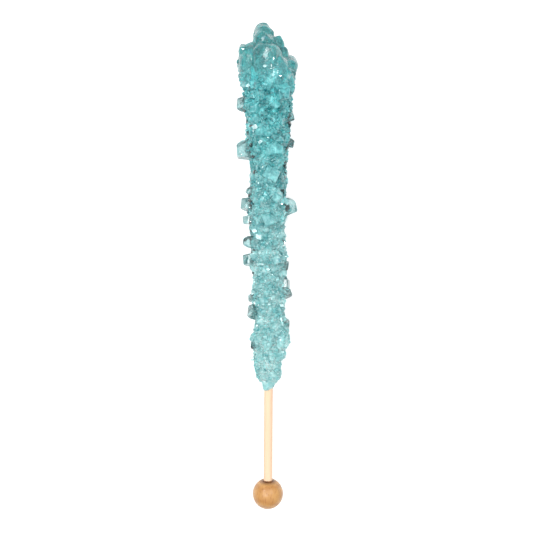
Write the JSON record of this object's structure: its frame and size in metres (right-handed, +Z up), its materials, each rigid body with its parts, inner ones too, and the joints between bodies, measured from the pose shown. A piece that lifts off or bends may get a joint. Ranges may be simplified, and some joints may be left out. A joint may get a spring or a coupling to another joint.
{
  "type": "rock candy stick",
  "caption": "Rock candy stick: teal sugar crystals grown on a thin birch dowel that ends in a small turned wooden ball.",
  "frame": {"origin": "bottom centre of the part's box, on the surface that the stick lies on", "axes": "+Y along the stick from the ball to the candy's tip, +Z up towards the shown side, +X to the right of the shown side"},
  "size_m": [0.024, 0.1777, 0.0202],
  "materials": {
    "sugar_crystals": "translucent teal sugar crystals",
    "birch_dowel": "bare sanded birch",
    "wooden_ball": "satin varnish"
  },
  "bodies": {
    "root": {"candy_crystals": "sugar_crystals", "stick": "birch_dowel", "ball": "wooden_ball"}
  },
  "joints": []
}
